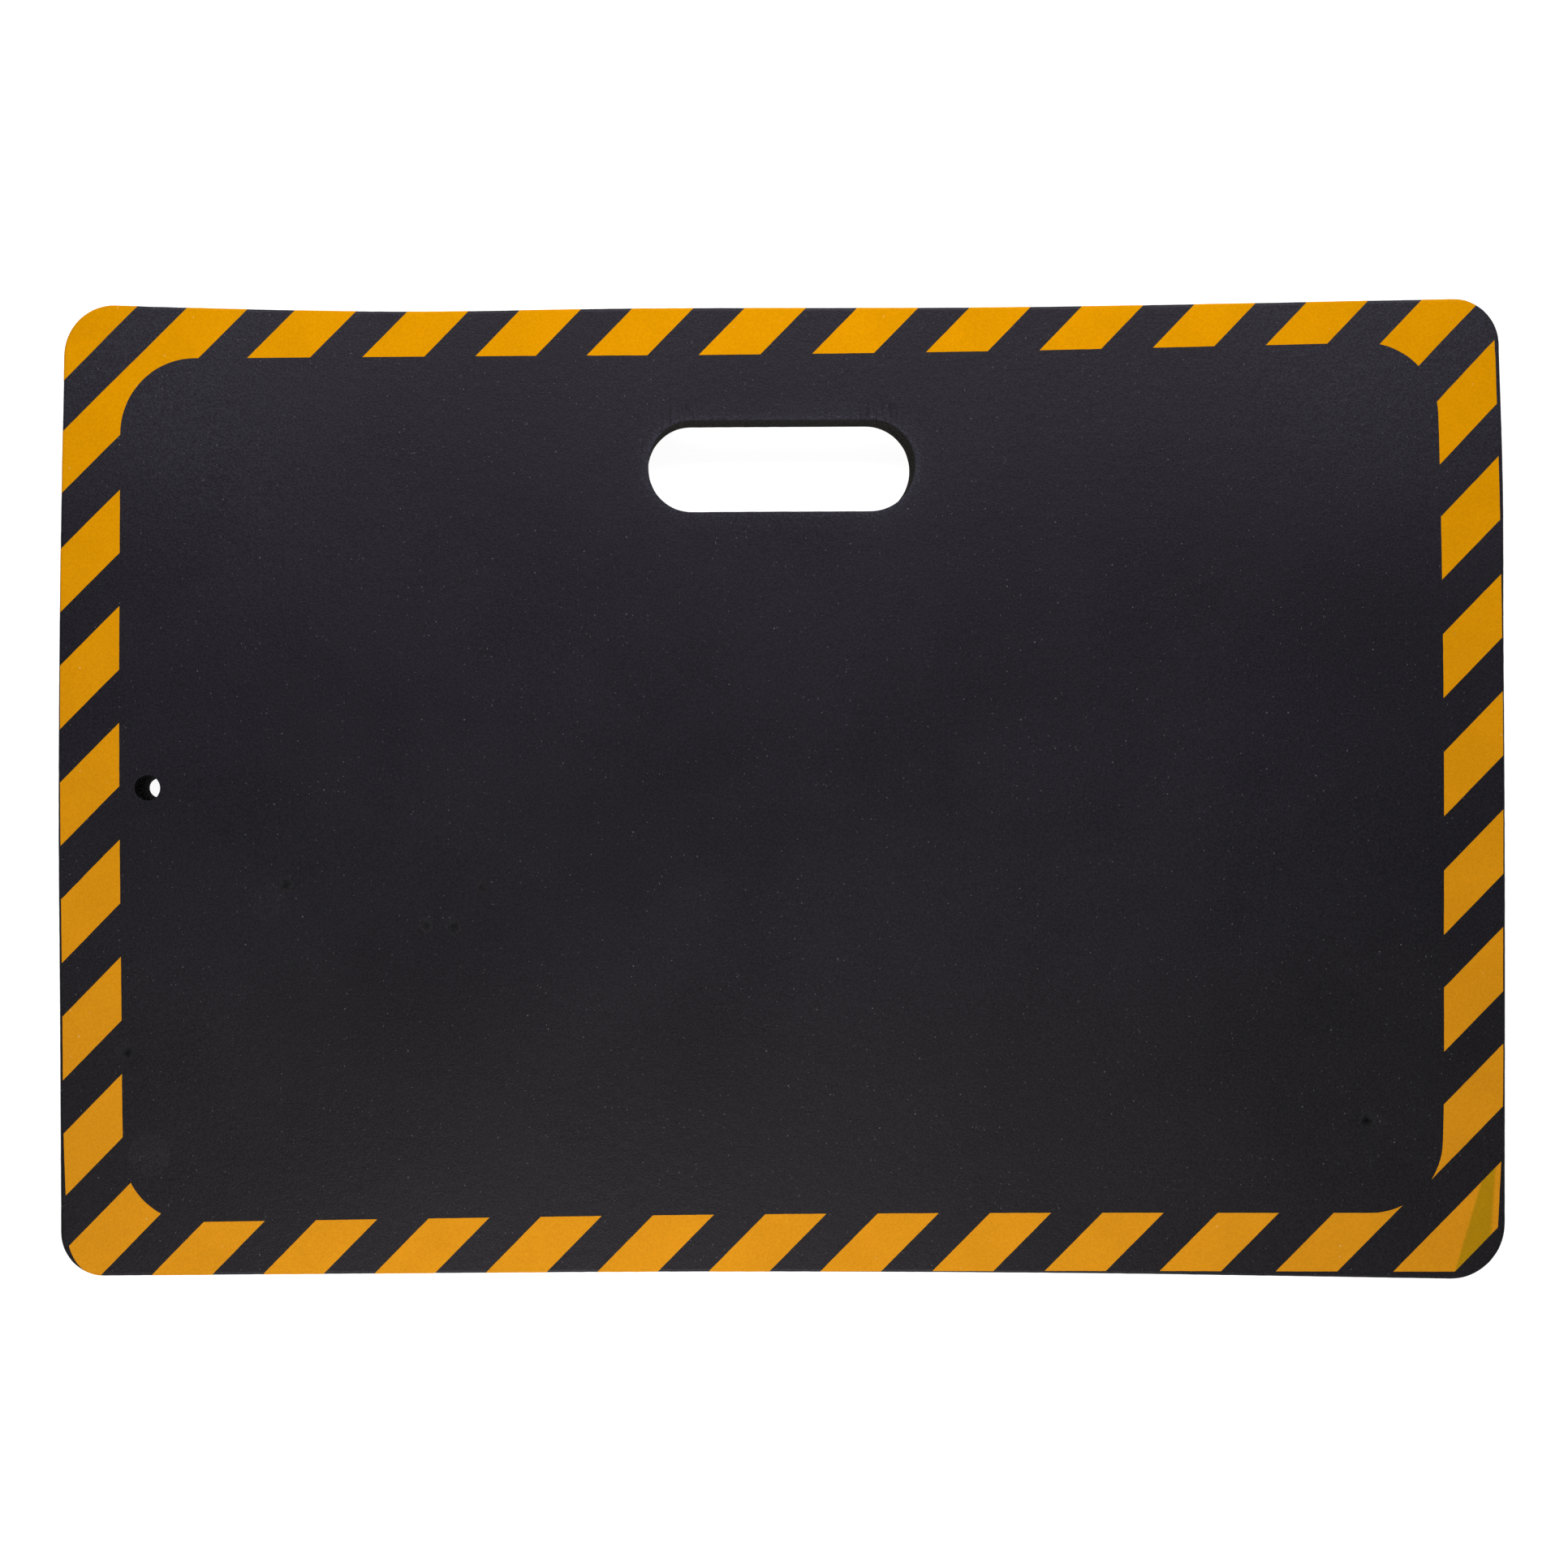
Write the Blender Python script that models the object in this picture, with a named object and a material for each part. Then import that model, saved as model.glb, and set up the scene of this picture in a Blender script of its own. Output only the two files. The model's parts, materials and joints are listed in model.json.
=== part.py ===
"""Kneeling pad: a die-cut slab of closed-cell foam with a printed hazard border.

The pad lies flat, printed face up. The origin is at the centre of its underside, +X runs along its length,
+Y points to the side with the hand slot and +Z goes up through the printed face. In names, top, bottom, left
and right are the pad's sides as seen from above, with the hand slot at the top. Lengths are in metres.
"""

import math

import bmesh
import bpy
from mathutils import Vector

# Slab
PAD_LENGTH = 0.5334  # 21 in
PAD_WIDTH = 0.3556  # 14 in
PAD_THICKNESS = 0.0254  # 1 in, over the ink
CORNER_RADIUS = 0.019
RIM_RADIUS = 0.001  # where the faces turn into the side wall
RIM_SEGMENTS = 3

# Openings, both cut right through
SLOT_LENGTH = 0.098
SLOT_WIDTH = 0.034
SLOT_TO_EDGE = 0.0412  # web of foam between the slot and the pad's edge
HANG_HOLE_DIAMETER = 0.0095
HANG_HOLE_TO_END = 0.0329  # from the hole's centre to the pad's left end

# Ink film
INK_THICKNESS = 0.00015
FIT_GAP = 0.0003  # kept between the foam and the film
FOAM_THICKNESS = PAD_THICKNESS - INK_THICKNESS - FIT_GAP
FILM_BASE = FOAM_THICKNESS + FIT_GAP

# Artwork: a striped band round a plain window. It sits a little off the pad's middle, and turned
PRINT_SHIFT = (-0.0003, 0.0026)
PRINT_TURN = math.radians(0.32)
PRINT_LENGTH = 0.5328
PRINT_WIDTH = 0.360
WINDOW_LENGTH = 0.489
WINDOW_WIDTH = 0.318
WINDOW_RADII = (0.0275, 0.0275, 0.0275, 0.030)  # top right, top left, bottom left, bottom right
TOP_PITCH = 0.0420  # from stripe to stripe along the side
BOTTOM_PITCH = 0.04135
LEFT_PITCH = 0.0428
RIGHT_PITCH = 0.0426
INKED_SHARE = 0.543  # of each pitch
CORNER_STRIPE = 0.0225  # width of a corner stripe, measured along a side
BAR_LENGTH = 0.060  # of a stripe before it is trimmed to the band
LONG_BAR_LENGTH = 0.130  # where it goes round a corner

# Meshing
ARC_STEPS = 12  # to a quarter turn
HOLE_STEPS = 32  # to a full turn
SHARP_ANGLE = math.radians(35)  # an edge that turns by more than this is a crease
CUT_MARGIN = 0.005  # how far a cutter reaches past what it cuts

# Colours, linear
FOAM_BLACK = (0.018, 0.017, 0.021, 1.0)
INK_YELLOW = (0.74, 0.31, 0.01, 1.0)

WINDOW_X = WINDOW_LENGTH / 2
WINDOW_Y = WINDOW_WIDTH / 2
LONG_SIDE_DEPTH = (PRINT_WIDTH - WINDOW_WIDTH) / 2
SHORT_SIDE_DEPTH = (PRINT_LENGTH - WINDOW_LENGTH) / 2
UPHILL = Vector((1.0, 1.0))  # the way the stripes run

# side: first stripe's start on the window's edge, step to the next stripe, which way the stripes leave the
# window along UPHILL, depth of the band, number of stripes
SIDES = {
    "top": (Vector((-0.1965, WINDOW_Y)), Vector((TOP_PITCH, 0)), 1, LONG_SIDE_DEPTH, 10),
    "right": (Vector((WINDOW_X, 0.1372)), Vector((0, -RIGHT_PITCH)), 1, SHORT_SIDE_DEPTH, 6),
    "bottom": (Vector((-0.2138, -WINDOW_Y)), Vector((BOTTOM_PITCH, 0)), -1, LONG_SIDE_DEPTH, 10),
    "left": (Vector((-WINDOW_X, 0.1085)), Vector((0, -LEFT_PITCH)), -1, SHORT_SIDE_DEPTH, 6),
}

# corner stripe: height of its upper edge where that edge crosses the artwork's Y axis, the corner it is at,
# and 0 where it goes round the corner, or which way it runs out from the corner along UPHILL
CORNERS = {
    "top_left_tip": (0.4369, (-1, 1), 0),
    "top_left": (0.3958, (-1, 1), 0),
    "top_right": (-0.0654, (1, 1), 1),
    "bottom_right_upper": (-0.3620, (1, -1), 1),
    "bottom_right_lower": (-0.3604, (1, -1), -1),
    "bottom_right_tip": (-0.4038, (1, -1), 0),
    "bottom_left": (0.0963, (-1, -1), -1),
}


def clear_scene():
    for leftover in list(bpy.data.objects):
        bpy.data.objects.remove(leftover)


def plain_material(name, colour, roughness):
    made = bpy.data.materials.new(name)
    made.use_nodes = True
    made.diffuse_color = colour
    shader = made.node_tree.nodes["Principled BSDF"]
    shader.inputs["Base Color"].default_value = colour
    shader.inputs["Roughness"].default_value = roughness
    shader.inputs["Metallic"].default_value = 0.0
    return made


def rounded_rectangle(length, width, radii):
    """Points anticlockwise round a rectangle whose corners are quarter circles, from the top right one."""
    points = []
    signs = ((1, 1), (-1, 1), (-1, -1), (1, -1))
    for corner, ((side_x, side_y), radius) in enumerate(zip(signs, radii)):
        centre = Vector((side_x * (length / 2 - radius), side_y * (width / 2 - radius)))
        for step in range(ARC_STEPS + 1):
            angle = (corner + step / ARC_STEPS) * math.pi / 2
            points.append(centre + radius * Vector((math.cos(angle), math.sin(angle))))
    return points


def evenly_rounded(length, width, radius):
    return rounded_rectangle(length, width, 4 * (radius,))


def circle(diameter):
    turns = (2 * math.pi * step / HOLE_STEPS for step in range(HOLE_STEPS))
    return [diameter / 2 * Vector((math.cos(turn), math.sin(turn))) for turn in turns]


def rectangle(length, width):
    return [Vector((x * length / 2, y * width / 2)) for x, y in ((1, 1), (-1, 1), (-1, -1), (1, -1))]


def prism(name, outline, bottom, top):
    """A closed upright prism over an anticlockwise outline."""
    shape = bmesh.new()
    base = shape.faces.new([shape.verts.new((x, y, bottom)) for x, y in outline])
    raised = bmesh.ops.extrude_face_region(shape, geom=[base])["geom"]
    lifted = [item for item in raised if isinstance(item, bmesh.types.BMVert)]
    bmesh.ops.translate(shape, verts=lifted, vec=(0, 0, top - bottom))
    bmesh.ops.remove_doubles(shape, verts=shape.verts, dist=1e-7)
    bmesh.ops.recalc_face_normals(shape, faces=shape.faces)
    mesh = bpy.data.meshes.new(name)
    shape.to_mesh(mesh)
    shape.free()
    made = bpy.data.objects.new(name, mesh)
    bpy.context.scene.collection.objects.link(made)
    return made


def make_helper(made):
    made.hide_render = True
    made.display_type = "WIRE"
    return made


def boolean(target, other, operation):
    step = target.modifiers.new(f"{operation.lower()}_{other.name}", "BOOLEAN")
    step.operation = operation
    step.solver = "EXACT"
    step.object = other


def settle(target):
    """Make an object's modifiers part of its mesh, and shade its round stretches smooth."""
    graph = bpy.context.evaluated_depsgraph_get()
    mesh = bpy.data.meshes.new_from_object(target.evaluated_get(graph))
    mesh.shade_smooth()
    mesh.set_sharp_from_angle(angle=SHARP_ANGLE)
    target.modifiers.clear()
    target.data = mesh


def foam_slab():
    """The slab with its rims rounded, then the hand slot and the hang hole cut through it."""
    outline = evenly_rounded(PAD_LENGTH, PAD_WIDTH, CORNER_RADIUS)
    slab = prism("foam_slab", outline, 0.0, FOAM_THICKNESS)
    rim = slab.modifiers.new("rim", "BEVEL")
    rim.width = RIM_RADIUS
    rim.segments = RIM_SEGMENTS
    rim.limit_method = "ANGLE"
    rim.angle_limit = SHARP_ANGLE

    low = -CUT_MARGIN
    high = FOAM_THICKNESS + CUT_MARGIN
    stadium = evenly_rounded(SLOT_LENGTH, SLOT_WIDTH, SLOT_WIDTH / 2)
    slot = make_helper(prism("hand_slot_cutter", stadium, low, high))
    slot.location.y = PAD_WIDTH / 2 - SLOT_TO_EDGE - SLOT_WIDTH / 2
    boolean(slab, slot, "DIFFERENCE")
    hole = make_helper(prism("hang_hole_cutter", circle(HANG_HOLE_DIAMETER), low, high))
    hole.location.x = HANG_HOLE_TO_END - PAD_LENGTH / 2
    boolean(slab, hole, "DIFFERENCE")
    settle(slab)
    slab.data.materials.append(plain_material("black_foam", FOAM_BLACK, 0.9))


def artwork_frame():
    """The empty that carries the artwork, where it landed on the pad."""
    frame = bpy.data.objects.new("artwork", None)
    bpy.context.scene.collection.objects.link(frame)
    frame.location = (*PRINT_SHIFT, 0.0)
    frame.rotation_euler.z = PRINT_TURN
    return frame


def striped_band(artwork):
    """The helper that bars are trimmed to: the flat of the pad's face that the band covers."""
    low = FILM_BASE - CUT_MARGIN
    high = PAD_THICKNESS + CUT_MARGIN
    flat_length = PAD_LENGTH - 2 * RIM_RADIUS
    flat_width = PAD_WIDTH - 2 * RIM_RADIUS
    flat = evenly_rounded(flat_length, flat_width, CORNER_RADIUS - RIM_RADIUS)
    band = make_helper(prism("striped_band", flat, low, high))
    printed = evenly_rounded(PRINT_LENGTH, PRINT_WIDTH, CORNER_RADIUS)
    outer = make_helper(prism("print_outline", printed, low - CUT_MARGIN, high + CUT_MARGIN))
    plain = rounded_rectangle(WINDOW_LENGTH, WINDOW_WIDTH, WINDOW_RADII)
    window = make_helper(prism("plain_window", plain, low - CUT_MARGIN, high + CUT_MARGIN))
    outer.parent = artwork
    window.parent = artwork
    boolean(band, outer, "INTERSECT")
    boolean(band, window, "DIFFERENCE")
    return band


def ink_stripe(name, middle, length, inked, artwork, band, ink):
    """One stripe: a bar at 45 degrees, trimmed to the band. Its inked width is measured along a side."""
    bar = prism(name, rectangle(length, inked / math.sqrt(2)), FILM_BASE, PAD_THICKNESS)
    bar.location = (*middle, 0.0)
    bar.rotation_euler.z = math.pi / 4
    bar.parent = artwork
    boolean(bar, band, "INTERSECT")
    bar.data.materials.append(ink)


def side_stripes(artwork, band, ink):
    for side, (start, step, way_out, depth, count) in SIDES.items():
        for index in range(count):
            on_window = start + (index + INKED_SHARE / 2) * step
            middle = on_window + way_out * depth / 2 * UPHILL
            name = f"{side}_stripe_{index + 1:02d}"
            ink_stripe(name, middle, BAR_LENGTH, INKED_SHARE * step.length, artwork, band, ink)


def corner_stripes(artwork, band, ink):
    for corner, (upper_edge, (side_x, side_y), way_out) in CORNERS.items():
        in_window = Vector((side_x * (WINDOW_X - CORNER_RADIUS), side_y * (WINDOW_Y - CORNER_RADIUS)))
        middle_line = upper_edge - CORNER_STRIPE / 2
        off_line = middle_line - (in_window.y - in_window.x)
        beside_corner = in_window + off_line / 2 * Vector((-1.0, 1.0))
        middle = beside_corner + way_out * LONG_BAR_LENGTH / 2 / math.sqrt(2) * UPHILL
        name = f"corner_stripe_{corner}"
        ink_stripe(name, middle, LONG_BAR_LENGTH, CORNER_STRIPE, artwork, band, ink)


def main():
    clear_scene()
    foam_slab()
    artwork = artwork_frame()
    band = striped_band(artwork)
    ink = plain_material("yellow_ink", INK_YELLOW, 0.55)
    side_stripes(artwork, band, ink)
    corner_stripes(artwork, band, ink)


main()
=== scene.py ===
"""Looks of the kneeling pad: a die-cut foam slab with its printed hazard border, on a plain floor.

The pad's skin and the ink on it come from one triangulation of the pad's face, so that each stripe lies in
the foam's own relief and runs over its rim. Outlines are drawn square, as the CAD has them, and then bent to
the slightly uneven cut of a real pad. Lengths are in metres. Top, bottom, left and right are the pad's sides
as seen from above, with the hand slot at the top.
"""

import json
import math

import bpy
import numpy as np
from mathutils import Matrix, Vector, kdtree, noise
from mathutils.geometry import delaunay_2d_cdt


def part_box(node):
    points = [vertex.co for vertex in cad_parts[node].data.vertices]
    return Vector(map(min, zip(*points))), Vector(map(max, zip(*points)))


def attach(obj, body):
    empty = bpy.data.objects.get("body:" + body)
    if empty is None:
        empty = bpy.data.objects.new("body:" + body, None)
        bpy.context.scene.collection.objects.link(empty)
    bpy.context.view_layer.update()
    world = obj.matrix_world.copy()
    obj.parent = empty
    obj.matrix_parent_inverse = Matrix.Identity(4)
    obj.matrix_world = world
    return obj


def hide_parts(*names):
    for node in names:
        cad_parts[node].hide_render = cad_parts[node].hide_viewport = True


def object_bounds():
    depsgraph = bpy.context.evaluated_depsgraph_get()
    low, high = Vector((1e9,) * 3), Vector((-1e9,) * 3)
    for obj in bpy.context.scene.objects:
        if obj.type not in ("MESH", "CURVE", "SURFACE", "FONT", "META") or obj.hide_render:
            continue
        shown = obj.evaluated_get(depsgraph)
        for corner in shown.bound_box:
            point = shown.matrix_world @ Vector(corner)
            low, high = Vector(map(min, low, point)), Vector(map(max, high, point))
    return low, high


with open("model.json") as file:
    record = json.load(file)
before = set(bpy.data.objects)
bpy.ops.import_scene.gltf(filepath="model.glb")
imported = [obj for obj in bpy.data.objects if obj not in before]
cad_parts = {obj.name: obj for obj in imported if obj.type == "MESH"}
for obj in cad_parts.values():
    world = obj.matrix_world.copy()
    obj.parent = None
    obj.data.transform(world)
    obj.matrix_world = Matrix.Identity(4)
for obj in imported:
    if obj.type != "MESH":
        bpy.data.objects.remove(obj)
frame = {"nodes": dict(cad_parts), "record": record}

CAD_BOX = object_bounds()
SLAB_LOW, SLAB_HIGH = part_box("foam_slab")
LENGTH = SLAB_HIGH.x - SLAB_LOW.x
WIDTH = SLAB_HIGH.y - SLAB_LOW.y
OPENINGS = {opening["name"]: opening for opening in frame["record"]["physics"]["openings"]}

# Foam
CORNER_RADII = (0.0168, 0.0187, 0.0160, 0.0203)  # top right, top left, bottom left, bottom right
RIM_RADIUS = 0.0010  # round the pad's edge
CUT_RADIUS = 0.00018  # round the slot and the hole
DISH = 0.0004  # how far a cut wall hollows between the faces
WALL_RINGS = 5

# Slot and hole, where the punch went in. They sit a little off the CAD's openings
SLOT_SIZE = (0.0988, 0.0338)
SLOT_RADII = (0.0165, 0.0161, 0.0161, 0.0168)
SLOT_SHIFT = Vector((-0.0001, -0.0001))
SLOT_TURN = math.radians(0.25)
SLOT_LEAN = (-0.0013, 0.0003)  # the slot's way aside on its way down
SLOT_LEAN_REACH = 0.014
HOLE_DIAMETER = 0.0094
HOLE_RISE = 0.0011  # the hole sits above the pad's middle line
HOLE_LEAN = (-0.0008, 0.0)
HOLE_TAPER = 0.24  # how much narrower the hole is on the underside
HOLE_REACH = 0.004  # of its lean and taper

# Artwork, as in the CAD, and the sheet it was printed from, which leaves a margin of bare foam at the right
BORDER_CENTRE = Vector((-0.0003, 0.0026))
BORDER_TURN = math.radians(0.32)
WINDOW_SIZE = (0.489, 0.318)
WINDOW_RADII = (0.0262, 0.0275, 0.0254, 0.0255)
SHEET_OFFSET = Vector((0, 0.0008))
SHEET_SIZE = (0.5327, 0.3624)
SHEET_RADII = (0.019, 0.010, 0.016, 0.010)
BLEED = 0.004  # how far a stripe is drawn past the pad's edge
OUTERMOST = "top_left_tip"  # the stripe whose upper side is the pad's corner
STRIPE_SHIFT = {  # how far the print put a stripe above its even place, measured along Y
    "bottom_stripe_10": -0.0009,
    "corner_stripe_bottom_right_lower": -0.0004,
    "right_stripe_02": 0.0005,
    "right_stripe_06": 0.0004,
}
FILM = 0.00005  # ink above the foam
FILM_ROOT = 0.00010  # ink below the foam's surface

# How far each edge strays outwards from its square outline: (place along the edge, distance)
CUT_STRAY = {
    "left": ((-0.150, -0.0003), (-0.080, 0.0001), (-0.010, 0.0006), (0.070, 0.0001), (0.160, -0.0015)),
    "right": ((-0.150, 0.0005), (0.0, 0.0004), (0.060, 0.0), (0.110, -0.0002), (0.160, -0.0017)),
    "bottom": ((-0.250, 0.0018), (-0.160, 0.0011), (-0.020, 0.0003), (0.100, 0.0008), (0.250, 0.0030)),
    "top": ((-0.250, 0.0012), (-0.200, -0.0002), (-0.140, -0.0011), (-0.060, 0.0), (0.080, 0.0005),
            (0.250, 0.0035)),
}
PRINT_STRAY = {
    "left": ((-0.170, -0.0021), (-0.130, -0.0008), (-0.080, -0.0005), (0.020, -0.0002), (0.110, -0.0010),
             (0.150, -0.0014)),
    "right": ((-0.165, -0.0026), (-0.125, -0.0007), (-0.060, -0.0001), (0.0, 0.0003), (0.100, -0.0003),
              (0.166, -0.0019)),
    "bottom": ((-0.214, 0.0020), (-0.130, 0.0012), (-0.030, 0.0004), (0.060, 0.0003), (0.250, 0.0014)),
    "top": ((-0.200, -0.0011), (-0.100, -0.0009), (-0.030, -0.0009), (0.060, -0.0003), (0.220, 0.0022)),
}

# Meshing
ARC_STEPS = 20
EDGE_STEP = 0.0016
GRID_STEP = 0.0032
FINE_STEP = 0.0011  # round the slot
FINE_REACH = 0.012
CLEAR_OF_EDGES = 0.0009
FLAT_RING = 0.00025  # past a rim, so that its shading ends there
SHARP_ANGLE = math.radians(50)

# Relief
SWELL = 0.00016  # slow waves in the face
DIMPLE = 0.00003  # quick ones
RAGGED = 0.00006  # unevenness of every drawn and cut edge
CREASE_DEPTH = 0.00022  # where the punch crumpled the foam beyond the slot's upper ends
CREASE_STEP = 0.0026  # from crease to crease
CREASE_AWAY = 0.0035  # how far from the slot the creases are deepest
CREASE_REACH = 0.0050  # and how far to either side of that they end
FAN_MIDDLE = 80  # degrees from the slot's length to the middle of the creases' fan
FAN_HALF = 32
DENTS = (  # x, y, radius, depth
    (-0.1979, -0.0494, 0.0018, 0.0003),
    (-0.1113, -0.0842, 0.0016, 0.0003),
    (-0.1858, -0.1133, 0.0018, 0.0003),
    (-0.0400, 0.0463, 0.0018, 0.0003),
    (-0.0347, 0.0396, 0.0018, 0.0003),
    (-0.0201, 0.0481, 0.0018, 0.0003),
)
# Dents whose middle is darker
DARK_CENTRED_DENTS = (  # whose skin is scuffed off: x, y, radius, depth, and how dark their middle is
    (0.2157, -0.1225, 0.0031, 0.0005, 0.80),
    (-0.2416, -0.0974, 0.0028, 0.0004, 0.65),
    (-0.1830, -0.0352, 0.0027, 0.0003, 0.45),
    (-0.1212, -0.0510, 0.0028, 0.0003, 0.45),
    (-0.1313, -0.0504, 0.0025, 0.0003, 0.30),
    (-0.1108, -0.0362, 0.0023, 0.0003, 0.35),
)
SCUFFS = (  # faint round marks: x, y, radius, strength
    (-0.2338, -0.1351, 0.0083, 0.50),
    (-0.1892, -0.0420, 0.0073, 0.22),
)

# Patch that lightly greys the ink at the bottom right, between two lines: start, end, blur
GREY_PATCH_LEFT = ((0.2579, -0.1462), (0.2495, -0.1747), 0.0010)
GREY_PATCH_RIGHT = ((0.2621, -0.1603), (0.2633, -0.1432), 0.0014)
GREYED_INK = (0.512, 0.267, 0.006, 1)

# Looks, as linear colours and as sizes of noise
# Skin colours from the bottom to the top; the bluer top is painted sheen of the far softbox's light
SKIN_NEAR = (0.0068, 0.0063, 0.0068, 1)  # at the bottom of the pad
SKIN_FAR_PAINTED_SHEEN = (0.0068, 0.0063, 0.0096, 1)  # and at its top
SKIN_DUST = (0.11, 0.11, 0.115, 1)
SCUFFED = (0.0208, 0.0196, 0.0216)
CELL_SHADE = (0.0020, 0.0018, 0.0018, 1)
CELL_LIGHT = (0.0275, 0.0212, 0.0162, 1)
INK_NEAR = (0.78, 0.312, 0.012, 1)
INK_FAR = (0.79, 0.322, 0.0005, 1)
INK_DUST = (0.85, 0.56, 0.22, 1)
SKIN_GRAIN = 0.00075
SKIN_BUMP = 0.00009
INK_GRAIN = 0.0008
INK_BUMP = 0.00003
LUMP_SIZE = 0.0035  # soft unevenness under both grains

# Studio
FLOOR_DARK = (0.42, 0.42, 0.42, 1)
FLOOR_LIGHT = (0.46, 0.46, 0.46, 1)
FLOOR_GLOW = 0.95
BACKGROUND = 1.1  # as the camera sees it
FILL_LIGHT = 0.15  # as the pad is lit by it
SOFTBOXES = (  # name, place, aim, size, power
    ("far_softbox", (0.0, 0.48, 0.50), (0.0, 0.06, 0.0), (0.95, 0.20), 3.75),
    ("near_softbox", (-0.08, -0.50, 0.50), (-0.02, -0.06, 0.0), (0.46, 0.20), 2.50),
)


def rounded_rectangle(size, radii):
    """Points anticlockwise round a rectangle whose corners are quarter circles, from the top right one."""
    points = []
    signs = ((1, 1), (-1, 1), (-1, -1), (1, -1))
    for corner, ((side_x, side_y), radius) in enumerate(zip(signs, radii)):
        centre = Vector((side_x * (size[0] / 2 - radius), side_y * (size[1] / 2 - radius)))
        for step in range(ARC_STEPS + 1):
            angle = (corner + step / ARC_STEPS) * math.pi / 2
            points.append(centre + radius * Vector((math.cos(angle), math.sin(angle))))
    return points


def circle(radius):
    turns = (math.pi * step / 2 / ARC_STEPS for step in range(4 * ARC_STEPS))
    return [radius * Vector((math.cos(turn), math.sin(turn))) for turn in turns]


def placed(points, shift, turn=0.0):
    turned = Vector((math.cos(turn), math.sin(turn)))
    across = Vector((-turned.y, turned.x))
    return [shift + point.x * turned + point.y * across for point in points]


def divided(points):
    """The same closed outline, with no side longer than the edge step and no point twice."""
    found = []
    for start, end in zip(points, points[1:] + points[:1]):
        length = (end - start).length
        if length > 1e-7:
            count = math.ceil(length / EDGE_STEP)
            found += [start.lerp(end, index / count) for index in range(count)]
    return found


def centre_of(opening):
    low, high = np.array(opening["box_m"])
    return Vector((low + high)[:2] / 2)


def smooth_curve(knots):
    """A function of one array that runs smoothly through the knots and level beyond them."""
    places, heights = np.array(knots).T
    slopes = np.gradient(heights, places)

    def at(values):
        values = np.clip(values, places[0], places[-1])
        index = np.clip(np.searchsorted(places, values) - 1, 0, len(places) - 2)
        span = places[index + 1] - places[index]
        t = (values - places[index]) / span
        rise = 3 * t**2 - 2 * t**3
        leave = (t**3 - 2 * t**2 + t) * span * slopes[index]
        arrive = (t**3 - t**2) * span * slopes[index + 1]
        return heights[index] * (1 - rise) + heights[index + 1] * rise + leave + arrive

    return at


def stray_at(points, size, stray):
    """How far a square layout of this size is pushed aside at each point by the stray of its four edges."""
    x, y = points.T
    right_share = x / size[0] + 0.5
    top_share = y / size[1] + 0.5
    left, right = (smooth_curve(stray[side])(y) for side in ("left", "right"))
    bottom, top = (smooth_curve(stray[side])(x) for side in ("bottom", "top"))
    sideways = right * right_share - left * (1 - right_share)
    upwards = top * top_share - bottom * (1 - top_share)
    return np.stack((sideways, upwards), axis=1)


def cut_stray(points):
    return stray_at(points, (LENGTH, WIDTH), CUT_STRAY)


def dent_outline(x, y, radius):
    """A dent's rim, where it was before the cut's stray moved it into place."""
    centre = np.array([[x, y]])
    return placed(circle(radius), Vector((centre - cut_stray(centre))[0]))


def printed(points):
    """An outline of the artwork, turned and strayed as it was printed, in the pad's square layout."""
    points = np.array(placed(divided(points), BORDER_CENTRE, BORDER_TURN))
    points += stray_at(points, WINDOW_SIZE, PRINT_STRAY)
    return [Vector(point) for point in points - cut_stray(points)]


SLOT_CENTRE = centre_of(OPENINGS["hand_slot"]) + SLOT_SHIFT
HOLE_CENTRE = centre_of(OPENINGS["hang_hole"]) + Vector((0, HOLE_RISE))


def inside_rounded(points, size, radii):
    """How far each point lies inside a rounded rectangle round the origin."""
    x, y = points.T
    top_right, top_left, bottom_left, bottom_right = radii
    upper = np.where(x > 0, top_right, top_left)
    lower = np.where(x > 0, bottom_right, bottom_left)
    radius = np.where(y > 0, upper, lower)
    past_x = np.abs(x) - size[0] / 2 + radius
    past_y = np.abs(y) - size[1] / 2 + radius
    outside = np.hypot(np.maximum(past_x, 0), np.maximum(past_y, 0))
    return radius - outside - np.minimum(np.maximum(past_x, past_y), 0)


def inside_outline(points):
    """How far each point lies inside the pad's square outline."""
    return inside_rounded(points, (LENGTH, WIDTH), CORNER_RADII)


def beside_slot(points):
    """Places along and across the slot, from its centre."""
    along = np.array((math.cos(SLOT_TURN), math.sin(SLOT_TURN)))
    across = np.array((-along[1], along[0]))
    return (points - np.array(SLOT_CENTRE)) @ np.stack((along, across), axis=1)


def outside_slot(points):
    return -inside_rounded(beside_slot(points), SLOT_SIZE, SLOT_RADII)


def outside_hole(points):
    x, y = (points - np.array(HOLE_CENTRE)).T
    return np.hypot(x, y) - HOLE_DIAMETER / 2


def into_foam(points):
    """Unit vectors that point from the nearest cut wall into the foam."""

    def depth(where):
        return np.minimum(np.minimum(inside_outline(where), outside_slot(where)), outside_hole(where))

    tiny = 1e-5
    slope_x = depth(points + (tiny, 0)) - depth(points - (tiny, 0))
    slope_y = depth(points + (0, tiny)) - depth(points - (0, tiny))
    slope = np.stack((slope_x, slope_y), axis=1)
    return slope / np.maximum(np.linalg.norm(slope, axis=1, keepdims=True), 1e-12)


def rounding(distance, radius):
    """Drop and tilt of a quarter-round rim this far in from its wall. Tilt goes from 1 at the wall to 0."""
    tilt = 1 - np.clip(distance / radius, 0, 1)
    return radius * (1 - np.sqrt(1 - tilt**2)), tilt


def rings_within(radius, count=4):
    """Distances from the wall at which a quarter round has its rings, and one that closes off the flat."""
    turns = (math.pi / 2 * index / count for index in range(1, count + 1))
    return [radius * (1 - math.cos(turn)) for turn in turns] + [radius + FLAT_RING]


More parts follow.
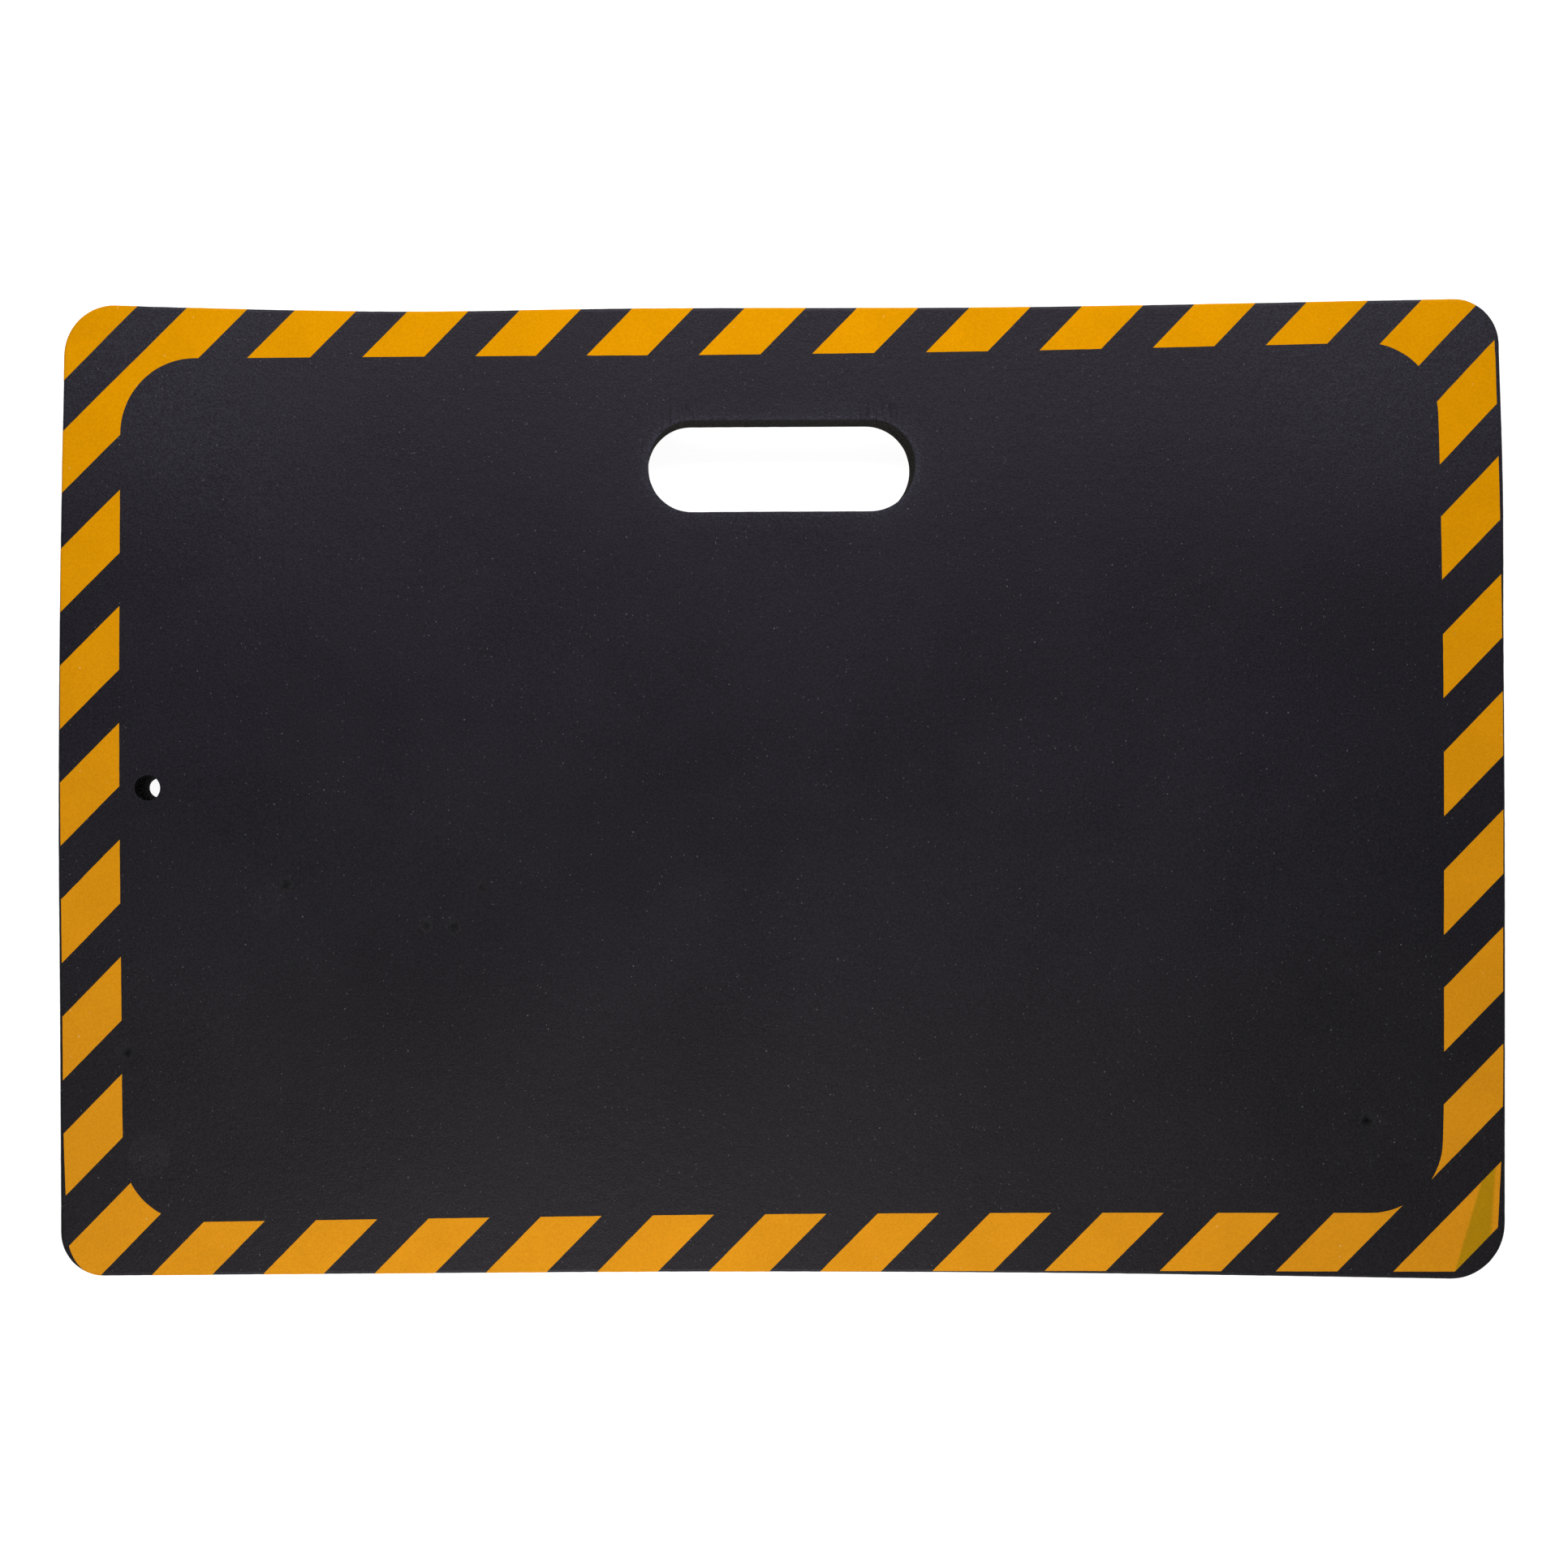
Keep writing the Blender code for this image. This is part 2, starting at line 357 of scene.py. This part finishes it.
def stripe_bar(name, node):
    """The bar that a CAD stripe was trimmed from, with bleed at its ends, as four corners."""
    turn = math.pi / 4 + BORDER_TURN
    along = np.array((math.cos(turn), math.sin(turn)))
    across = np.array((-along[1], along[0]))
    points = np.array([vertex.co.xy for vertex in node.data.vertices])
    start, end = (points @ along).min() - BLEED, (points @ along).max() + BLEED
    shift = STRIPE_SHIFT.get(name, 0.0) / math.sqrt(2)
    low, high = (points @ across).min() + shift, (points @ across).max() + shift
    if name.endswith(OUTERMOST):
        high += BLEED
    corners = ((start, low), (end, low), (end, high), (start, high))
    return [Vector(a * along + b * across) for a, b in corners]


def face_layout():
    """One triangulation of the pad's face: points, triangles, and the outlines that each triangle is in."""
    outline = rounded_rectangle((LENGTH, WIDTH), CORNER_RADII)
    slot = placed(rounded_rectangle(SLOT_SIZE, SLOT_RADII), SLOT_CENTRE, SLOT_TURN)
    hole = placed(circle(HOLE_DIAMETER / 2), HOLE_CENTRE)
    areas = {
        "pad": outline,
        "slot": slot,
        "hole": hole,
        "sheet": printed(placed(rounded_rectangle(SHEET_SIZE, SHEET_RADII), SHEET_OFFSET)),
        "window": printed(rounded_rectangle(WINDOW_SIZE, WINDOW_RADII)),
    }
    for name, node in frame["nodes"].items():
        if "stripe" in name:
            areas[name] = stripe_bar(name, node)
    for index, (x, y, radius, _, _) in enumerate(DARK_CENTRED_DENTS):
        areas[f"dent_{index}"] = dent_outline(x, y, radius)
    loops = []
    for inset in rings_within(RIM_RADIUS):
        size = (LENGTH - 2 * inset, WIDTH - 2 * inset)
        loops.append(rounded_rectangle(size, [corner - inset for corner in CORNER_RADII]))
    for outset in rings_within(CUT_RADIUS, 3):
        size = (SLOT_SIZE[0] + 2 * outset, SLOT_SIZE[1] + 2 * outset)
        radii = [corner + outset for corner in SLOT_RADII]
        loops.append(placed(rounded_rectangle(size, radii), SLOT_CENTRE, SLOT_TURN))
        loops.append(placed(circle(HOLE_DIAMETER / 2 + outset), HOLE_CENTRE))

    points, edges, faces = [], [], []
    for loop in [*areas.values(), *loops]:
        loop = divided(loop)
        first = len(points)
        points += loop
        indices = list(range(first, len(points)))
        if len(faces) < len(areas):
            faces.append(indices)
        else:
            edges += zip(indices, indices[1:] + indices[:1])
    points += inner_points(points)
    inside_only, tolerance, with_origins = 1, 1e-6, True
    made = delaunay_2d_cdt(points, edges, faces, inside_only, tolerance, with_origins)
    names = list(areas)
    triangles = np.array(made[2])
    within = [{names[index] for index in found} for found in made[5]]
    return np.array(made[0]), triangles, within


def grid(low, high, step):
    xs = np.arange(low[0], high[0], step)
    ys = np.arange(low[1], high[1], step)
    return np.stack(np.meshgrid(xs, ys), axis=-1).reshape(-1, 2)


def inner_points(drawn):
    """Points between the drawn edges: an even grid, and a finer one round the slot."""
    tree = kdtree.KDTree(len(drawn))
    for index, point in enumerate(drawn):
        tree.insert(point.to_3d(), index)
    tree.balance()
    coarse = grid((-LENGTH / 2, -WIDTH / 2), (LENGTH / 2, WIDTH / 2), GRID_STEP)
    coarse = coarse[(inside_outline(coarse) > 0) & (outside_slot(coarse) > FINE_REACH)]
    reach = np.array(SLOT_SIZE) / 2 + FINE_REACH
    fine = grid(np.array(SLOT_CENTRE) - reach, np.array(SLOT_CENTRE) + reach, FINE_STEP)
    fine = fine[(outside_slot(fine) > 0) & (outside_slot(fine) < FINE_REACH)]
    found = [Vector(point) for point in np.concatenate((coarse, fine))]
    return [point for point in found if tree.find(point.to_3d())[2] > CLEAR_OF_EDGES]


def waves(points, size, seed):
    """Smooth noise from -1 to 1, with features of this size."""
    return np.array([noise.noise(Vector((x / size, y / size, seed))) for x, y in points])


def crumple(points):
    """Creases that fan out beyond the slot's upper ends, from 0 to 1."""
    x, y = beside_slot(points).T
    end = SLOT_SIZE[0] / 2 - SLOT_SIZE[1] / 2
    angle = np.arctan2(y, np.maximum(np.abs(x) - end, -0.010))
    fan = np.clip(1 - np.abs(np.degrees(angle) - FAN_MIDDLE) / FAN_HALF, 0, 1)
    reach = np.clip(1 - np.abs(outside_slot(points) - CREASE_AWAY) / CREASE_REACH, 0, 1)
    phase = np.abs(x) / CREASE_STEP * 2 * math.pi + 3 * waves(points, 0.006, 4.0)
    return fan * reach * np.clip(np.sin(phase), 0, 1)


def face_relief(points):
    """How much the top face stands above its mean height."""
    height = SWELL * waves(points, 0.060, 1.0) + DIMPLE * waves(points, 0.009, 2.0)
    return height - CREASE_DEPTH * crumple(points)


def dented(points):
    """How deep the dents are."""
    depths = np.zeros(len(points))
    for x, y, radius, depth, *_ in DENTS + DARK_CENTRED_DENTS:
        away = np.hypot(points[:, 0] - x, points[:, 1] - y) / radius
        depths += depth * np.exp(-(away**2))
    return depths


def boundary_of(triangles):
    """Directed edges that only one triangle has."""
    edges = np.concatenate((triangles[:, [0, 1]], triangles[:, [1, 2]], triangles[:, [2, 0]]))
    known = set(map(tuple, edges))
    return np.array([edge for edge in edges if (edge[1], edge[0]) not in known])


def new_mesh_object(name, vertices, faces, materials):
    mesh = bpy.data.meshes.new(name)
    mesh.from_pydata(vertices.tolist(), [], faces)
    for material in materials:
        mesh.materials.append(material)
    mesh.shade_smooth()
    mesh.set_sharp_from_angle(angle=SHARP_ANGLE)
    made = bpy.data.objects.new(name, mesh)
    bpy.context.scene.collection.objects.link(made)
    return made


class Face:
    """The pad's upper face, ready to be cut into foam and ink."""

    def __init__(self):
        flat, triangles, within = face_layout()
        punched = {"slot", "hole"}
        kept = [index for index, areas in enumerate(within) if "pad" in areas and not areas & punched]
        self.triangles = triangles[kept]
        self.within = [within[index] for index in kept]
        self.dented = np.array([any("dent" in name for name in areas) for areas in self.within])
        used, renumbered = np.unique(self.triangles, return_inverse=True)
        self.triangles = renumbered.reshape(-1, 3)
        flat = flat[used]
        self.turn_upright(flat)
        self.flat = flat
        uneven = np.stack((waves(flat, 0.0035, 7.0), waves(flat, 0.0035, 8.0)), axis=1)
        self.plan = flat + cut_stray(flat) + RAGGED * uneven
        self.wall_way = into_foam(flat)
        rim_drop, rim_tilt = rounding(inside_outline(flat), RIM_RADIUS)
        slot_drop, slot_tilt = rounding(outside_slot(flat), CUT_RADIUS)
        hole_drop, hole_tilt = rounding(outside_hole(flat), CUT_RADIUS)
        self.drop = rim_drop + slot_drop + hole_drop
        tilt = np.clip(rim_tilt + slot_tilt + hole_tilt, 0, 1)[:, None]
        sideways = -self.wall_way * tilt
        self.normals = np.concatenate((sideways, np.sqrt(1 - tilt**2)), axis=1)
        self.top = CAD_BOX[1].z - FILM - self.drop + face_relief(flat) - dented(self.plan)

    def turn_upright(self, flat):
        a, b, c = (flat[self.triangles[:, index]] for index in range(3))
        turn = np.cross(b - a, c - a)
        under = turn < 0
        self.triangles[under] = self.triangles[under][:, ::-1]


def foam_piece(face, skin, cut, scuffed):
    """The slab: the face, its copy underneath, and hollowed walls between their edges."""
    count = len(face.flat)
    top = np.column_stack((face.plan, face.top))
    near_slot = np.exp(-((np.maximum(outside_slot(face.flat), 0) / SLOT_LEAN_REACH) ** 2))[:, None]
    near_hole = np.exp(-((np.maximum(outside_hole(face.flat), 0) / HOLE_REACH) ** 2))[:, None]
    punched_in = np.array(HOLE_LEAN) + HOLE_TAPER * (np.array(HOLE_CENTRE) - face.flat)
    plan = face.plan + near_slot * np.array(SLOT_LEAN) + near_hole * punched_in
    underside = np.column_stack((plan, face.drop))
    edges = boundary_of(face.triangles)
    rim = np.unique(edges)
    place = {vertex: index for index, vertex in enumerate(rim)}
    rings = []
    for ring in range(1, WALL_RINGS + 1):
        share = ring / (WALL_RINGS + 1)
        hollow = DISH * 4 * share * (1 - share) + RAGGED * waves(face.flat[rim], 0.004, 9.0 + ring)
        level = top[rim] * (1 - share) + underside[rim] * share
        level[:, :2] += hollow[:, None] * face.wall_way[rim]
        rings.append(level)
    vertices = np.concatenate((top, underside, *rings))

    def at(vertex, ring):
        if ring == 0:
            return vertex
        if ring > WALL_RINGS:
            return vertex + count
        return 2 * count + (ring - 1) * len(rim) + place[vertex]

    faces = face.triangles.tolist() + (face.triangles[:, ::-1] + count).tolist()
    skin_faces = len(faces)
    for start, end in edges:
        for ring in range(WALL_RINGS + 1):
            faces.append((at(start, ring + 1), at(end, ring + 1), at(end, ring), at(start, ring)))
    foam = new_mesh_object("foam_pad", vertices, faces, (skin, cut, scuffed))
    looks = np.zeros(len(faces), np.int32)
    looks[skin_faces:] = 1
    looks[: len(face.triangles)][face.dented] = 2
    foam.data.polygons.foreach_set("material_index", looks)
    return foam


def ink_piece(face, name, ink):
    """One stripe as a thin film that follows the foam, a little sunk into it."""
    inked = [{name, "sheet"} <= areas and "window" not in areas for areas in face.within]
    triangles = face.triangles[inked]
    used, renumbered = np.unique(triangles, return_inverse=True)
    triangles = renumbered.reshape(-1, 3)
    count = len(used)
    surface = np.column_stack((face.plan, face.top))[used]
    normals = face.normals[used]
    vertices = np.concatenate((surface + FILM * normals, surface - FILM_ROOT * normals))
    faces = triangles.tolist() + (triangles[:, ::-1] + count).tolist()
    faces += [(start + count, end + count, end, start) for start, end in boundary_of(triangles)]
    return new_mesh_object(f"ink_{name}", vertices, faces, (ink,))


class Nodes:
    """A short hand for building a material's nodes."""

    def __init__(self, name):
        self.material = bpy.data.materials.new(name)
        self.material.use_nodes = True
        self.tree = self.material.node_tree
        self.shader = self.tree.nodes["Principled BSDF"]
        self.place = self.tree.nodes.new("ShaderNodeTexCoord").outputs["Object"]

    def link(self, value, socket):
        if isinstance(value, bpy.types.NodeSocket):
            self.tree.links.new(value, socket)
        else:
            socket.default_value = value

    def set(self, name, value):
        self.link(value, self.shader.inputs[name])

    def noise(self, size, detail=2.0, roughness=0.5, place=None):
        made = self.tree.nodes.new("ShaderNodeTexNoise")
        self.link(place or self.place, made.inputs["Vector"])
        made.inputs["Scale"].default_value = 1 / size
        made.inputs["Detail"].default_value = detail
        made.inputs["Roughness"].default_value = roughness
        return made.outputs["Fac"]

    def cells(self, size, place=None):
        made = self.tree.nodes.new("ShaderNodeTexVoronoi")
        self.link(place or self.place, made.inputs["Vector"])
        made.inputs["Scale"].default_value = 1 / size
        return made

    def math(self, operation, a, b=0.0):
        made = self.tree.nodes.new("ShaderNodeMath")
        made.operation = operation
        self.link(a, made.inputs[0])
        self.link(b, made.inputs[1])
        return made.outputs[0]

    def spread(self, value, low, high, to_low=0.0, to_high=1.0):
        """The value, mapped from one range to another and held at its ends."""
        made = self.tree.nodes.new("ShaderNodeMapRange")
        made.interpolation_type = "SMOOTHSTEP"
        for socket, number in zip(made.inputs, (value, low, high, to_low, to_high)):
            self.link(number, socket)
        return made.outputs[0]

    def mix(self, share, a, b):
        made = self.tree.nodes.new("ShaderNodeMix")
        made.data_type = "RGBA"
        self.link(share, made.inputs[0])
        self.link(a, made.inputs[6])
        self.link(b, made.inputs[7])
        return made.outputs[2]

    def scaled(self, colour, factor):
        """A colour times a number."""
        made = self.tree.nodes.new("ShaderNodeVectorMath")
        made.operation = "SCALE"
        self.link(colour, made.inputs[0])
        self.link(factor, made.inputs["Scale"])
        return made.outputs[0]

    def mapped(self, location=(0, 0, 0), scale=(1, 1, 1), turn=0.0):
        made = self.tree.nodes.new("ShaderNodeMapping")
        self.link(self.place, made.inputs["Vector"])
        made.inputs["Location"].default_value = location
        made.inputs["Rotation"].default_value = (0, 0, turn)
        made.inputs["Scale"].default_value = scale
        return made.outputs[0]

    def length(self, vector):
        made = self.tree.nodes.new("ShaderNodeVectorMath")
        made.operation = "LENGTH"
        self.link(vector, made.inputs[0])
        return made.outputs["Value"]

    def dot(self, direction):
        """How far a place lies along a direction."""
        made = self.tree.nodes.new("ShaderNodeVectorMath")
        made.operation = "DOT_PRODUCT"
        self.link(self.place, made.inputs[0])
        made.inputs[1].default_value = direction
        return made.outputs["Value"]

    def parts(self, vector):
        made = self.tree.nodes.new("ShaderNodeSeparateXYZ")
        self.link(vector, made.inputs[0])
        return tuple(made.outputs)

    def joined(self, x, y):
        made = self.tree.nodes.new("ShaderNodeCombineXYZ")
        self.link(x, made.inputs[0])
        self.link(y, made.inputs[1])
        return made.outputs[0]

    def axis(self, name):
        return self.parts(self.place)["XYZ".index(name)]

    def bump(self, height, depth, under=None):
        made = self.tree.nodes.new("ShaderNodeBump")
        made.inputs["Strength"].default_value = 1.0
        made.inputs["Distance"].default_value = depth
        self.link(height, made.inputs["Height"])
        if under is not None:
            self.link(under, made.inputs["Normal"])
        return made.outputs[0]


def from_slot(nodes):
    """How far a place lies outside the slot."""
    x, y, _ = nodes.parts(nodes.mapped(tuple(-SLOT_CENTRE) + (0,)))
    end = (SLOT_SIZE[0] - SLOT_SIZE[1]) / 2
    past = nodes.math("MAXIMUM", nodes.math("SUBTRACT", nodes.math("ABSOLUTE", x), end), 0.0)
    return nodes.math("SUBTRACT", nodes.length(nodes.joined(past, y)), SLOT_SIZE[1] / 2)


def creases(nodes):
    """Painted shade in the creases: fine dark lines across the crumpled foam beyond the slot's upper ends,
    from 0 to 1.
    """
    x, y, _ = nodes.parts(nodes.mapped(tuple(-SLOT_CENTRE) + (0,)))
    x = nodes.math("ABSOLUTE", x)
    inner = nodes.spread(x, 0.025, 0.033)
    outer = nodes.spread(x, 0.040, 0.049, 1.0, 0.0)
    above = nodes.spread(y, 0.006, 0.014)
    near = nodes.spread(from_slot(nodes), 0.003, 0.011, 1.0, 0.0)
    lines = nodes.spread(nodes.noise(0.0011, 2.0, 0.5, nodes.mapped(scale=(1, 0.12, 1))), 0.48, 0.62)
    for mask in (inner, outer, above, near):
        lines = nodes.math("MULTIPLY", lines, mask)
    return lines


def speckled(nodes, size, largest, share, place=None):
    """Small spots, one to a cell, each with a size and a strength of its own."""
    cells = nodes.cells(size, place=place)
    draw, strength, _ = nodes.parts(cells.outputs["Color"])
    radius = nodes.spread(draw, 1 - share, 1.0, 0.0, largest / size)
    spot = nodes.math("LESS_THAN", cells.outputs["Distance"], radius)
    return nodes.math("MULTIPLY", spot, nodes.math("POWER", strength, 2.0))


def foam_skin():
    """The slab's moulded skin: matt black, finely grained, with soft blotches and dust."""
    nodes = Nodes("foam_skin")
    blotches = nodes.noise(0.045, 3.0, 0.55)
    # Painted sheen: the skin's colour turns bluer towards the top
    from_near_side = nodes.spread(nodes.axis("Y"), -0.16, 0.04)
    tint = nodes.mix(from_near_side, SKIN_NEAR, SKIN_FAR_PAINTED_SHEEN)
    shade = nodes.spread(nodes.noise(0.11, 2.0), 0.3, 0.7, 0.85, 1.12)
    grain = nodes.noise(SKIN_GRAIN, 2.0, 0.7)
    shade = nodes.math("MULTIPLY", shade, nodes.spread(grain, 0.3, 0.7, 0.35, 1.70))
    # Painted light: the skin is paler round the slot, a halo of light from the bright floor seen through it
    for reach, painted_glow in ((0.011, 1.4), (0.0035, 1.5)):
        shade = nodes.math("MULTIPLY", shade, nodes.spread(from_slot(nodes), 0.0, reach, painted_glow, 1.0))
    # Painted shade: the skin darkens to a quarter along the creases beyond the slot's upper ends
    shade = nodes.math("MULTIPLY", shade, nodes.spread(creases(nodes), 0.0, 1.0, 1.0, 0.25))
    for x, y, radius, strength in SCUFFS:
        away = nodes.length(nodes.mapped((-x, -y, -CAD_BOX[1].z)))
        mark = nodes.spread(away, 0.88 * radius, radius, 1 + strength, 1.0)
        shade = nodes.math("MULTIPLY", shade, mark)
    # Painted sheen: the skin is up to 1.8 times as light towards the top corners, standing in for the far
    # softbox's reflection
    far_side = nodes.spread(nodes.axis("Y"), 0.03, 0.17)
    towards_ends = nodes.spread(nodes.math("ABSOLUTE", nodes.axis("X")), 0.07, 0.25, 0.25, 1.0)
    painted_sheen = nodes.math("MULTIPLY", far_side, towards_ends)
    colour = nodes.scaled(tint, nodes.math("MULTIPLY", shade, nodes.spread(painted_sheen, 0.0, 1.0, 1.0, 1.8)))
    specks = speckled(nodes, size=0.0026, largest=0.00028, share=0.8)
    fine_specks = speckled(nodes, size=0.0015, largest=0.00021, share=0.9)
    stretched = nodes.mapped(scale=(1, 0.4, 1), turn=0.9)
    fibres = speckled(nodes, size=0.0019, largest=0.00016, share=0.8, place=stretched)
    dust = nodes.math("MAXIMUM", nodes.math("MAXIMUM", specks, fine_specks), fibres)
    nodes.set("Base Color", nodes.mix(dust, colour, SKIN_DUST))
    nodes.set("Roughness", nodes.spread(blotches, 0.3, 0.7, 0.45, 0.53))
    nodes.set("Specular IOR Level", 0.31)
    nodes.set("Specular Tint", (0.94, 0.87, 1.0, 1))
    fine = nodes.bump(grain, SKIN_BUMP)
    nodes.set("Normal", nodes.bump(nodes.noise(LUMP_SIZE, 3.0), 0.00010, fine))
    return nodes.material


def cut_foam():
    """The walls that the die left: torn open cells, darker than the skin, with faint lines down them."""
    nodes = Nodes("cut_foam")
    cells = nodes.cells(0.00085)
    rim = nodes.spread(cells.outputs["Distance"], 0.15, 0.65)
    speckle = nodes.noise(0.0009, 2.0, 0.75)
    drag = nodes.noise(0.0012, 2.0, 0.5, nodes.mapped(scale=(1, 1, 0.06)))
    drag_shade = nodes.spread(drag, 0.3, 0.7, 0.75, 1.2)
    rim_shade = nodes.spread(rim, 0, 1, 0.55, 1.3)
    shade = nodes.math("MULTIPLY", drag_shade, rim_shade)
    # Painted shade: in and near the hang hole, the walls' pale speckle is dimmed to a fifth
    from_hole = nodes.length(nodes.mapped((-HOLE_CENTRE.x, -HOLE_CENTRE.y, 0), (1, 1, 0)))
    clear_of_hole_shade = nodes.spread(from_hole, 0.007, 0.015, 0.2, 1.0)
    light = nodes.math("MULTIPLY", nodes.spread(speckle, 0.50, 0.64), clear_of_hole_shade)
    colour = nodes.mix(light, CELL_SHADE, CELL_LIGHT)
    nodes.set("Base Color", nodes.scaled(colour, shade))
    nodes.set("Roughness", nodes.spread(speckle, 0.3, 0.7, 0.90, 1.0))
    nodes.set("Specular IOR Level", 0.05)
    nodes.set("Normal", nodes.bump(rim, 0.00018, nodes.bump(drag, 0.00025)))
    return nodes.material


def scuffed_foam():
    """Skin that a dent has scuffed the sheen off, darker towards the middle."""
    nodes = Nodes("scuffed_foam")
    ragged = nodes.spread(nodes.noise(0.0013, 2.0), 0.25, 0.75, -0.0004, 0.0004)
    shade = 1.0
    for x, y, radius, _, darkness in DARK_CENTRED_DENTS:
        away = nodes.length(nodes.mapped((-x, -y, -CAD_BOX[1].z)))
        away = nodes.math("ADD", away, ragged)
        patch = nodes.spread(away, 0.1 * radius, 0.95 * radius, 1 - darkness, 1.0)
        shade = nodes.math("MINIMUM", shade, patch)
    grain = nodes.noise(SKIN_GRAIN, 2.0, 0.7)
    shade = nodes.math("MULTIPLY", shade, nodes.spread(grain, 0.3, 0.7, 0.75, 1.25))
    nodes.set("Base Color", nodes.scaled(SCUFFED, shade))
    nodes.set("Roughness", nodes.spread(grain, 0.3, 0.7, 0.85, 0.95))
    nodes.set("Specular IOR Level", 0.05)
    nodes.set("Normal", nodes.bump(grain, SKIN_BUMP))
    return nodes.material


def beyond_line(nodes, start, end, blur):
    """0 to 1 across the line from start to end, rising to its left over the length of the blur."""
    along = (Vector(end) - Vector(start)).normalized()
    off = nodes.dot((-along.y, along.x, 0))
    base = Vector(start).dot(Vector((-along.y, along.x)))
    return nodes.spread(off, base - blur / 2, base + blur / 2)


def printed_ink():
    """Screen-printed yellow-orange ink: thin, even, a little satin, with the foam's grain showing in it."""
    nodes = Nodes("printed_ink")
    from_near_side = nodes.spread(nodes.axis("Y"), -0.17, 0.15)
    colour = nodes.mix(from_near_side, INK_NEAR, INK_FAR)
    # A greyer patch of ink at the bottom right, between two lines
    grey_patch = nodes.math("MULTIPLY", beyond_line(nodes, *GREY_PATCH_LEFT), beyond_line(nodes, *GREY_PATCH_RIGHT))
    colour = nodes.mix(grey_patch, colour, GREYED_INK)
    density = nodes.noise(0.020, 3.0, 0.6)
    shade = nodes.spread(density, 0.3, 0.7, 0.965, 1.03)
    grain = nodes.noise(INK_GRAIN, 2.0, 0.65)
    shade = nodes.math("MULTIPLY", shade, nodes.spread(grain, 0.25, 0.75, 0.92, 1.07))
    # Painted shade: the ink darkens slightly towards the pad's left and right ends, where the softboxes'
    # light falls off
    for end, painted_falloff in ((0.26, 0.95), (-0.26, 0.96)):
        shade = nodes.math("MULTIPLY", shade, nodes.spread(nodes.axis("X"), 0.6 * end, end, 1.0, painted_falloff))
    dust = speckled(nodes, size=0.0035, largest=0.00028, share=0.7)
    nodes.set("Base Color", nodes.mix(dust, nodes.scaled(colour, shade), INK_DUST))
    nodes.set("Roughness", nodes.spread(density, 0.3, 0.7, 0.50, 0.60))
    nodes.set("Specular IOR Level", 0.06)
    nodes.set("Specular Tint", (1.0, 0.55, 0.05, 1))
    fine = nodes.bump(grain, INK_BUMP)
    nodes.set("Normal", nodes.bump(nodes.noise(LUMP_SIZE, 3.0), 0.00006, fine))
    return nodes.material


def floor():
    half = 8.0
    corners = np.array([(-half, -half, 0), (half, -half, 0), (half, half, 0), (-half, half, 0)])
    nodes = Nodes("pale_floor")
    mottling = nodes.noise(0.30, 2.0)
    nodes.set("Base Color", nodes.mix(mottling, FLOOR_DARK, FLOOR_LIGHT))
    nodes.set("Roughness", 0.9)
    nodes.set("Specular IOR Level", 0.0)
    nodes.set("Emission Color", (1.0, 1.0, 1.0, 1))
    nodes.set("Emission Strength", FLOOR_GLOW)
    made = new_mesh_object("studio_floor", corners, [(0, 1, 2, 3)], (nodes.material,))


def studio():
    world = bpy.data.worlds.new("studio")
    bpy.context.scene.world = world
    world.use_nodes = True
    tree = world.node_tree
    seen = tree.nodes["Background"]
    seen.inputs["Color"].default_value = (1, 1, 1, 1)
    seen.inputs["Strength"].default_value = BACKGROUND
    fill = tree.nodes.new("ShaderNodeBackground")
    fill.inputs["Color"].default_value = (1, 1, 1, 1)
    fill.inputs["Strength"].default_value = FILL_LIGHT
    path = tree.nodes.new("ShaderNodeLightPath")
    either = tree.nodes.new("ShaderNodeMixShader")
    tree.links.new(path.outputs["Is Camera Ray"], either.inputs[0])
    tree.links.new(fill.outputs[0], either.inputs[1])
    tree.links.new(seen.outputs[0], either.inputs[2])
    tree.links.new(either.outputs[0], tree.nodes["World Output"].inputs[0])

    for name, place, aim, size, power in SOFTBOXES:
        light = bpy.data.lights.new(name, "AREA")
        light.shape = "RECTANGLE"
        light.size, light.size_y = size
        light.energy = power
        hung = bpy.data.objects.new(name, light)
        hung.location = place
        hung.rotation_euler = (Vector(aim) - Vector(place)).to_track_quat("-Z", "Y").to_euler()
        hung.visible_camera = False
        bpy.context.scene.collection.objects.link(hung)
    bpy.context.scene.view_settings.view_transform = "Standard"


def camera():
    """Straight above the pad, as far off as takes in the whole length with a margin."""
    distance = 1.1
    view_width = 0.57894
    aim = (0.0008, 0.0021)
    made = bpy.data.cameras.new("camera")
    made.sensor_width = 36.0
    made.lens = made.sensor_width * distance / view_width
    held = bpy.data.objects.new("camera", made)
    held.location = (*aim, CAD_BOX[1].z + distance)
    bpy.context.scene.collection.objects.link(held)
    bpy.context.scene.camera = held


def main():
    face = Face()
    foam = foam_piece(face, foam_skin(), cut_foam(), scuffed_foam())
    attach(foam, "root")
    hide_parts("foam_slab")
    ink = printed_ink()
    for name in frame["nodes"]:
        if "stripe" in name:
            stripe = ink_piece(face, name, ink)
            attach(stripe, "root")
            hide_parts(name)
    floor()
    studio()
    camera()


main()
